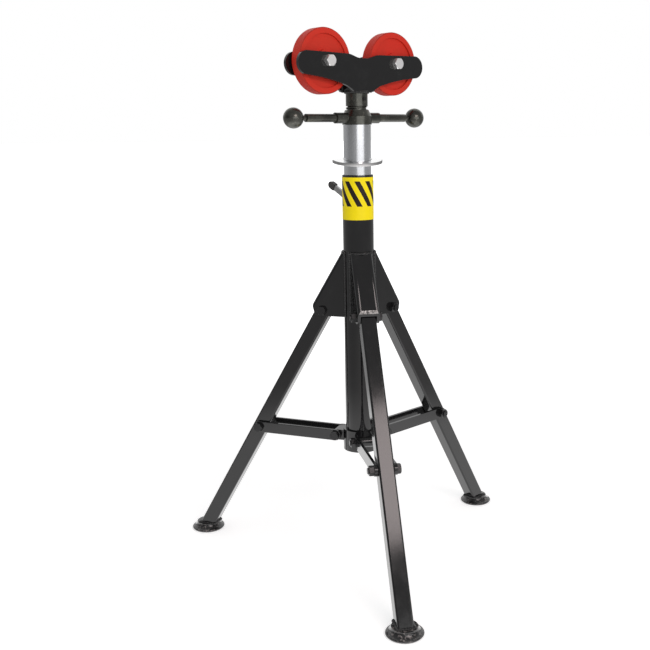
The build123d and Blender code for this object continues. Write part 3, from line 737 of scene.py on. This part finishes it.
def column_welds():
    """Where the brackets and the lock housing meet the column."""
    paths = []
    tube = TUBE_RADIUS + WELD_PROUD
    cap_out, cap_up, lower_end, housing_ends = 0.6 * MM, 0.3 * MM, 2 * MM, 3 * MM
    for number in LEGS:
        node = f"leg_bracket_{number}"
        angle = azimuth(place(f"leg_fold_{number}"))
        half = BRACKET_HALF_WIDTH + WELD_PROUD
        reach = (tube * tube - half * half) ** 0.5
        bottom, top = low(node).z + lower_end, high(node).z
        for side in (-half, half):
            paths.append(straight(round_axis(angle, reach, side, bottom),
                                  round_axis(angle, reach, side, top)))
        steps = 20
        sweep = atan2(half, reach)
        paths.append(([round_axis(angle + sweep * (2 * i / steps - 1), tube + cap_out, 0, top + cap_up)
                       for i in range(steps + 1)], False))
    angle = azimuth(middle("lock_housing"))
    half = HOUSING_HALF_WIDTH + cap_up
    reach = (tube * tube - half * half) ** 0.5
    bottom, top = low("lock_housing").z, high("outer_tube").z
    for side in (-half, half):
        paths.append(straight(round_axis(angle, reach, side, bottom + housing_ends),
                              round_axis(angle, reach, side, top - housing_ends)))
    return paths


def leg_welds(number):
    """Round the leg's end where it enters the foot."""
    pivot = place(f"leg_fold_{number}")
    angle = azimuth(pivot)
    foot = f"leg_foot_{number}"
    centre = hypot(middle(foot).x - AXIS.x, middle(foot).y - AXIS.y)
    seat = high(foot).z - LEG_SEAT_DEPTH
    slope = (centre - hypot(pivot.x - AXIS.x, pivot.y - AXIS.y)) / (pivot.z - seat)
    level = high(foot).z - FOOT_WELD_DROP
    reach = centre - (level - seat) * slope
    half_length = LEG_HALF * (1 + slope * slope) ** 0.5
    corners = [(half_length, LEG_HALF), (-half_length, LEG_HALF),
               (-half_length, -LEG_HALF), (half_length, -LEG_HALF)]
    return [([round_axis(angle, reach + out, side, level) for out, side in corners], True)]


def head_welds():
    """Between the stem, the saddle block and the two plates."""
    centre = AXIS + Vector((0, 0, low("saddle_block").z))
    stem_radius = (high("head_stem").x - low("head_stem").x) / 2
    stem_proud, inset = 0.2 * MM, 1 * MM
    paths = [ring_round(centre, Vector((0, 0, 1)), stem_radius + stem_proud)]
    angle = azimuth(place("wheel_turn_2"))
    top = high("saddle_block").z - inset
    for out in (-SADDLE_HALF_LENGTH, SADDLE_HALF_LENGTH):
        for side in (-HEAD_GAP_HALF + inset, HEAD_GAP_HALF - inset):
            paths.append(straight(round_axis(angle, out, side, centre.z + inset),
                                  round_axis(angle, out, side, top)))
    return paths


class StandOperator:
    """What the stand's operators share."""
    bl_options = {"REGISTER", "UNDO"}

    @property
    def sizes(self):
        return bpy.context.scene.stand_sizes

    @property
    def colours(self):
        return bpy.context.scene.stand_colours


class PaintSteelwork(StandOperator, bpy.types.Operator):
    """Paints the column, brackets, legs, arms, lock housing and head plates"""
    bl_idname = "stand.paint_steelwork"
    bl_label = "Paint Steelwork"

    def execute(self, context):
        paint = gloss_paint(self.colours.paint)
        nodes = ["outer_tube", "stop_ring", "slider_collar", "lock_housing", "saddle_block",
                 "front_head_plate", "rear_head_plate"]
        for number in LEGS:
            nodes += [f"leg_bracket_{number}", f"leg_tube_{number}", f"brace_arm_{number}"]
        coat(paint, nodes)
        # the feet's lighter grey patches are knocked paint and also a painted highlight standing in for
        # glints on their rounded tops
        grit_and_glint = (0.30, 0.265, 0.255)
        knocked = scuffed_paint_and_sheen("knocked_paint_and_glints", self.colours.paint, grit_and_glint, share=0.9)
        coat(knocked, [f"leg_foot_{number}" for number in LEGS])
        return {"FINISHED"}


class PlateMast(StandOperator, bpy.types.Operator):
    """Gives the sliding mast its bright zinc"""
    bl_idname = "stand.plate_mast"
    bl_label = "Plate Mast"

    def execute(self, context):
        coat(zinc_tube(self.colours.plating), ["inner_tube"])
        return {"FINISHED"}


class WrapBand(StandOperator, bpy.types.Operator):
    """Prints the yellow band with plain slanted bars"""
    bl_idname = "stand.wrap_band"
    bl_label = "Wrap Band"

    def execute(self, context):
        coat(striped_band(self.colours.band), ["wrap_band"])
        return {"FINISHED"}


class FinishRollers(StandOperator, bpy.types.Operator):
    """Enamels the two rollers and finishes their bushes"""
    bl_idname = "stand.finish_rollers"
    bl_label = "Finish Rollers"

    def execute(self, context):
        bronze = plain_bronze()
        for number in WHEELS:
            coat(wheel_enamel(number, self.colours.enamel), [f"roller_wheel_{number}"])
            coat(bronze, [f"wheel_bush_{number}"])
        return {"FINISHED"}


class FinishHandle(StandOperator, bpy.types.Operator):
    """Gives the head's stem, the screw, the turning nut, its bars and balls their dark oiled steel"""
    bl_idname = "stand.finish_handle"
    bl_label = "Finish Handle"

    def execute(self, context):
        steel = oiled_steel(self.colours.oiled_steel)
        coat(steel, ["head_stem", "turning_nut", "handle_bar_1", "handle_bar_2", "handle_ball_1",
                     "handle_ball_2", "jack_screw", "screw_stop"])
        return {"FINISHED"}


class PlateFasteners(StandOperator, bpy.types.Operator):
    """Plates the axle bolts bright and blackens the linkage bolts"""
    bl_idname = "stand.plate_fasteners"
    bl_label = "Plate Fasteners"

    def execute(self, context):
        bright = zinc_hardware("bolt_zinc", self.colours.bolts, roughness=0.42)
        coat(bright, ["axle_bolt_1", "axle_bolt_2", "axle_nuts", "lock_pins"])
        nodes = ["head_set_screw", "leg_pivot_bolts", "leg_pivot_nuts", "slider_bolts", "slider_nuts"]
        for number in LEGS:
            nodes += [f"brace_end_bolts_{number}", f"leg_bush_{number}"]
        coat(black_oxide(self.colours.dark_bolts), nodes)
        return {"FINISHED"}


class FinishLock(StandOperator, bpy.types.Operator):
    """Finishes the canted lock plate, its rod, spring, lever and grip"""
    bl_idname = "stand.finish_lock"
    bl_label = "Finish Lock"

    def execute(self, context):
        coat(sheared_zinc(self.colours.lock_plate), ["lock_plate"])
        pressed = zinc_hardware("lock_zinc", scaled(self.colours.bolts, share=0.42), roughness=0.24)
        coat(pressed, ["lock_lever", "push_rod", "lock_spring"])
        coat(dipped_grip(), ["lever_grip"])
        return {"FINISHED"}


class SeatLockSpring(StandOperator, bpy.types.Operator):
    """Gives the lock's small spring a mesh of its own, carried by the column"""
    bl_idname = "stand.seat_lock_spring"
    bl_label = "Seat Lock Spring"

    def execute(self, context):
        coils = bpy.data.objects.new("lock_spring_coils", frame["nodes"]["lock_spring"].data.copy())
        context.scene.collection.objects.link(coils)
        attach(coils, "column")
        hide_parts("lock_spring")
        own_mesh(coils)
        return {"FINISHED"}


class LayWelds(StandOperator, bpy.types.Operator):
    """Lays rippled weld beads where the painted parts join"""
    bl_idname = "stand.lay_welds"
    bl_label = "Lay Welds"

    def execute(self, context):
        paint = frame["nodes"]["outer_tube"].data.materials[0]
        recipe = weld_recipe()
        numbers = {"Radius": self.sizes.weld_radius, "Step": self.sizes.weld_step}
        runs = {"column_welds": (column_welds(), "column"), "head_welds": (head_welds(), "head")}
        for number in LEGS:
            runs[f"foot_weld_{number}"] = (leg_welds(number), f"leg_{number}")
        for name, (paths, body) in runs.items():
            piece = grow(name, path_mesh(name, paths), recipe, numbers, paint)
            smooth(piece)
            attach(piece, body)
        return {"FINISHED"}


class ThreadJackScrew(StandOperator, bpy.types.Operator):
    """Cuts the jack screw's coarse thread below its smooth pin"""
    bl_idname = "stand.thread_jack_screw"
    bl_label = "Thread Jack Screw"

    def execute(self, context):
        bottom, top = low("jack_screw").z, high("jack_screw").z - SCREW_PIN_LENGTH
        chamfer, rows_in_a_turn, sides = 1.2 * MM, 14, 48
        length = top - bottom - 2 * chamfer
        rows = round(length / self.sizes.screw_lead * rows_in_a_turn)
        side = [(SCREW_RADIUS, bottom + chamfer + length * i / rows) for i in range(rows + 1)]
        outline = [(SCREW_RADIUS - self.sizes.thread_depth, bottom), *side,
                   (SCREW_RADIUS - self.sizes.thread_depth, top), (SCREW_PIN_RADIUS, top),
                   (SCREW_PIN_RADIUS, top + SCREW_PIN_LENGTH)]
        numbers = {"Radius": SCREW_RADIUS, "Depth": self.sizes.thread_depth, "Lead": self.sizes.screw_lead,
                   "Bottom": bottom + chamfer * 0.5, "Top": top - chamfer * 0.5}
        steel = frame["nodes"]["jack_screw"].data.materials[0]
        blank = turned("threaded_screw", outline, sides)
        piece = grow("threaded_screw", blank, thread_recipe(), numbers, steel)
        piece.data.transform(Matrix.Translation(AXIS))
        piece.data.set_sharp_from_angle(angle=THREAD_EDGE)
        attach(piece, "screw")
        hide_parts("jack_screw")
        return {"FINISHED"}


class RoundPlateEdges(StandOperator, bpy.types.Operator):
    """Rounds the sheared edges of the painted brackets, arms, head plates and lock housing"""
    bl_idname = "stand.round_plate_edges"
    bl_label = "Round Plate Edges"

    def execute(self, context):
        painted = [("front_head_plate", "head"), ("rear_head_plate", "head"), ("lock_housing", "column")]
        for number in LEGS:
            painted.append((f"brace_arm_{number}", f"arm_{number}"))
        # lighter grey on the rounded edges: rubbed paint and a painted highlight along the edges
        primer_and_sheen = (0.11, 0.11, 0.11)
        worn = scuffed_paint_and_sheen("scuffed_and_sheen_edges", self.colours.paint, primer_and_sheen, share=0.8)
        for node, body in painted:
            soften(node, body, worn, self.sizes.plate_edge)
        # painted highlight: lighter steel on each bracket's cut end
        bare = rubbed_steel_highlight()
        bracket_edge = self.sizes.plate_edge * 0.6
        for number in LEGS:
            bracket = soften(f"leg_bracket_{number}", "column", worn, bracket_edge)
            self.paint_end_highlight(bracket, place(f"leg_fold_{number}"), bare)
        return {"FINISHED"}

    def paint_end_highlight(self, bracket, pivot, bare):
        """Lays lighter bare steel on the slanting back's cut end, above the leg, as a painted highlight
        along it.
        """
        outward = (pivot - AXIS).to_2d().to_3d().normalized()
        reach = (pivot - AXIS).to_2d().length + CUT_END_REACH
        bracket.data.materials.append(bare)
        for face in bracket.data.polygons:
            cut = face.normal.dot(outward) > 0.90 and 0.1 < face.normal.z < 0.4
            if cut and (face.center - AXIS).dot(outward) > reach and face.center.z > pivot.z:
                face.material_index = 2


class ThreadBoltTips(StandOperator, bpy.types.Operator):
    """Puts thread crests on the bolt tips that stand out of their nuts"""
    bl_idname = "stand.thread_bolt_tips"
    bl_label = "Thread Bolt Tips"

    def execute(self, context):
        recipe = bolt_tip_recipe()
        steel = frame["nodes"]["slider_nuts"].data.materials[0]
        paths = {"column": [], "slider": []}
        first, last, crest, sunk = 0.3 * MM, 1.7 * MM, 0.35 * MM, 0.25 * MM
        for number in LEGS:
            for joint, body in ((f"leg_fold_{number}", "column"), (f"arm_turn_{number}", "slider")):
                axis = direction(joint)
                start = place(joint) - axis * (BRACKET_HALF_WIDTH + BOLT_NUT_HEIGHT)
                paths[body].append(straight(start - axis * first, start - axis * last))
        numbers = {"Radius": BOLT_DIAMETER / 2 - sunk, "Step": self.sizes.bolt_pitch / 2, "Crest": crest}
        for body, lines in paths.items():
            piece = grow(f"{body}_bolt_threads", path_mesh(body, lines), recipe, numbers, steel)
            smooth(piece)
            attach(piece, body)
        return {"FINISHED"}


class SetStage(StandOperator, bpy.types.Operator):
    """Lays the floor, hangs the lamps and places the camera"""
    bl_idname = "stand.set_stage"
    bl_label = "Set Stage"

    def execute(self, context):
        studio = context.scene.stand_studio
        self.lay_floor(context)
        self.light_world(context, studio)
        self.hang_lamps(context, studio)
        self.place_camera(context, studio)
        return {"FINISHED"}

    def lay_floor(self, context):
        """A wide pale floor that looks white to the camera and keeps the stand's shadow; near the stand it
        glows brighter than white in reflections, a painted reflection of light.
        """
        reach = 60.0
        mesh = bpy.data.meshes.new("floor")
        mesh.from_pydata([(-reach, -reach, 0), (reach, -reach, 0), (reach, reach, 0), (-reach, reach, 0)],
                         [], [(0, 1, 2, 3)])
        floor = bpy.data.objects.new("floor", mesh)
        context.scene.collection.objects.link(floor)
        finish = Finish("studio_floor")
        seen = finish.node("ShaderNodeLightPath", output="Is Camera Ray")
        mirrored = finish.node("ShaderNodeLightPath", output="Is Glossy Ray")
        distance = finish.length(finish.from_point(AXIS))
        shown = 0.50 + distance.ramp(0.7, 2.2) * 0.5
        # painted reflection: near the stand the floor glows for glossy rays, up to 1.7 times white
        reflection_glow = 1.7 - distance.ramp(0.40, 1.15) * 1.7
        dusty = (0.80, 0.80, 0.80)
        tone = finish.blend(finish.noise(3.0, 2.0) * 0.06, tuple(self.colours.floor), dusty)
        finish.set(base_color=tone, roughness=0.9, specular_ior_level=0.1,
                   emission_color=finish.blend(seen * shown + mirrored * reflection_glow, (0.0, 0.0, 0.0), WHITE))
        finish.shader.inputs["Emission Strength"].default_value = 1.0
        floor.data.materials.append(finish.material)

    def light_world(self, context, studio):
        """Even light, white to the camera; metal and gloss see a pale wall and one dark corner."""
        world = bpy.data.worlds.new("studio_world")
        context.scene.world = world
        world.use_nodes = True
        room = Shading(world.node_tree)
        output = room.tree.nodes.new("ShaderNodeOutputWorld")
        shade = room.tree.nodes.new("ShaderNodeBackground")
        room.tree.links.new(shade.outputs[0], output.inputs[0])
        shade.inputs["Color"].default_value = (*WHITE, 1.0)
        way = room.node("ShaderNodeTexCoord", output="Generated")
        seen = room.node("ShaderNodeLightPath", output="Is Camera Ray")
        mirrored = room.node("ShaderNodeLightPath", output="Is Glossy Ray")
        back = (-sin(studio.bearing), -cos(studio.bearing), 0.0)
        dark = radians(-90) - studio.bearing - radians(60)
        wall = 1 - room.along(way, back).ramp(-0.6, -0.1)
        corner = room.along(way, (cos(dark), sin(dark), 0.0)).ramp(0.80, 0.97)
        raised = room.part(way, "Z").ramp(0.08, 0.20)
        gloss = 0.40 + wall * (0.10 + raised * 0.55) - corner * 0.26
        felt = studio.room_light + mirrored * (gloss - studio.room_light)
        room.feed(shade.inputs["Strength"], felt + seen * (1 - felt))

    def hang_lamps(self, context, studio):
        """A wide lamp at the mast's height and a narrow one above it, both right of the camera."""
        bearing = radians(-74)
        rosy = (1.0, 0.88, 0.87)
        lamps = (
            Lamp("high_lamp", studio.high_lamp, reach=2.20, height=1.74, size=(1.20, 0.58),
                 target=Vector((0.05, -0.20, 0.20)), colour=rosy),
            Lamp("low_lamp", studio.low_lamp, reach=2.20, height=0.77, size=(2.50, 0.52),
                 target=Vector((0, 0, 0.77)), colour=WHITE))
        for lamp in lamps:
            light = bpy.data.lights.new(lamp.name, "AREA")
            light.shape = "RECTANGLE"
            light.size, light.size_y = lamp.size
            light.energy = lamp.power
            light.color = lamp.colour
            hung = bpy.data.objects.new(lamp.name, light)
            away = Vector((cos(bearing), sin(bearing), 0))
            hung.location = AXIS + away * lamp.reach + Vector((0, 0, lamp.height))
            hung.rotation_euler = (AXIS + lamp.target - hung.location).to_track_quat("-Z", "Y").to_euler()
            context.scene.collection.objects.link(hung)

    def place_camera(self, context, studio):
        """The photograph's viewpoint, from its bearing, height and optical centre."""
        away = Vector((-sin(studio.bearing), -cos(studio.bearing), 0))
        spot = AXIS + away * studio.distance + Vector((0, 0, studio.height))
        heading = studio.bearing + studio.turn
        ahead = Vector((sin(heading) * cos(studio.pitch), cos(heading) * cos(studio.pitch),
                        -sin(studio.pitch)))
        right = Vector((cos(heading), -sin(heading), 0))
        up = right.cross(ahead)
        tilted_right = right * cos(studio.roll) + up * sin(studio.roll)
        tilted_up = -right * sin(studio.roll) + up * cos(studio.roll)
        data = bpy.data.cameras.new("camera")
        data.sensor_width = SENSOR_WIDTH
        data.lens = studio.focal_pixels * SENSOR_WIDTH / PICTURE_WIDTH
        data.shift_x = (PICTURE_WIDTH / 2 - studio.centre_x) / PICTURE_WIDTH
        data.shift_y = (studio.centre_y - PICTURE_WIDTH / 2) / PICTURE_WIDTH
        data.clip_start, data.clip_end = 0.05, 200.0
        camera = bpy.data.objects.new("camera", data)
        turn = Matrix((tilted_right, tilted_up, -ahead)).transposed()
        camera.matrix_world = Matrix.Translation(spot) @ turn.to_4x4()
        context.scene.collection.objects.link(camera)
        context.scene.camera = camera
        context.scene.view_settings.view_transform = "Standard"


OPERATORS = (PaintSteelwork, PlateMast, WrapBand, FinishRollers, FinishHandle, PlateFasteners, FinishLock,
             SeatLockSpring, LayWelds, ThreadJackScrew, RoundPlateEdges, ThreadBoltTips, SetStage)


class StandPanel(bpy.types.Panel):
    """Lists the steps and sizes"""
    bl_idname = "VIEW3D_PT_pipe_stand"
    bl_label = "Pipe Stand"
    bl_space_type = "VIEW_3D"
    bl_region_type = "UI"
    bl_category = "Pipe Stand"

    def draw(self, context):
        for step in OPERATORS:
            self.layout.operator(step.bl_idname)
        for group in (context.scene.stand_sizes, context.scene.stand_colours, context.scene.stand_studio):
            for name in group.bl_rna.properties.keys():
                if name not in ("rna_type", "name"):
                    self.layout.prop(group, name)


CLASSES = (StandSizes, StandColours, StandStudio, *OPERATORS, StandPanel)


def register():
    for made in CLASSES:
        bpy.utils.register_class(made)
    bpy.types.Scene.stand_sizes = bpy.props.PointerProperty(type=StandSizes)
    bpy.types.Scene.stand_colours = bpy.props.PointerProperty(type=StandColours)
    bpy.types.Scene.stand_studio = bpy.props.PointerProperty(type=StandStudio)


def unregister():
    del bpy.types.Scene.stand_studio
    del bpy.types.Scene.stand_colours
    del bpy.types.Scene.stand_sizes
    for made in reversed(CLASSES):
        bpy.utils.unregister_class(made)


def main():
    register()
    for step in OPERATORS:
        family, name = step.bl_idname.split(".")
        getattr(getattr(bpy.ops, family), name)()


if __name__ == "__main__":
    main()
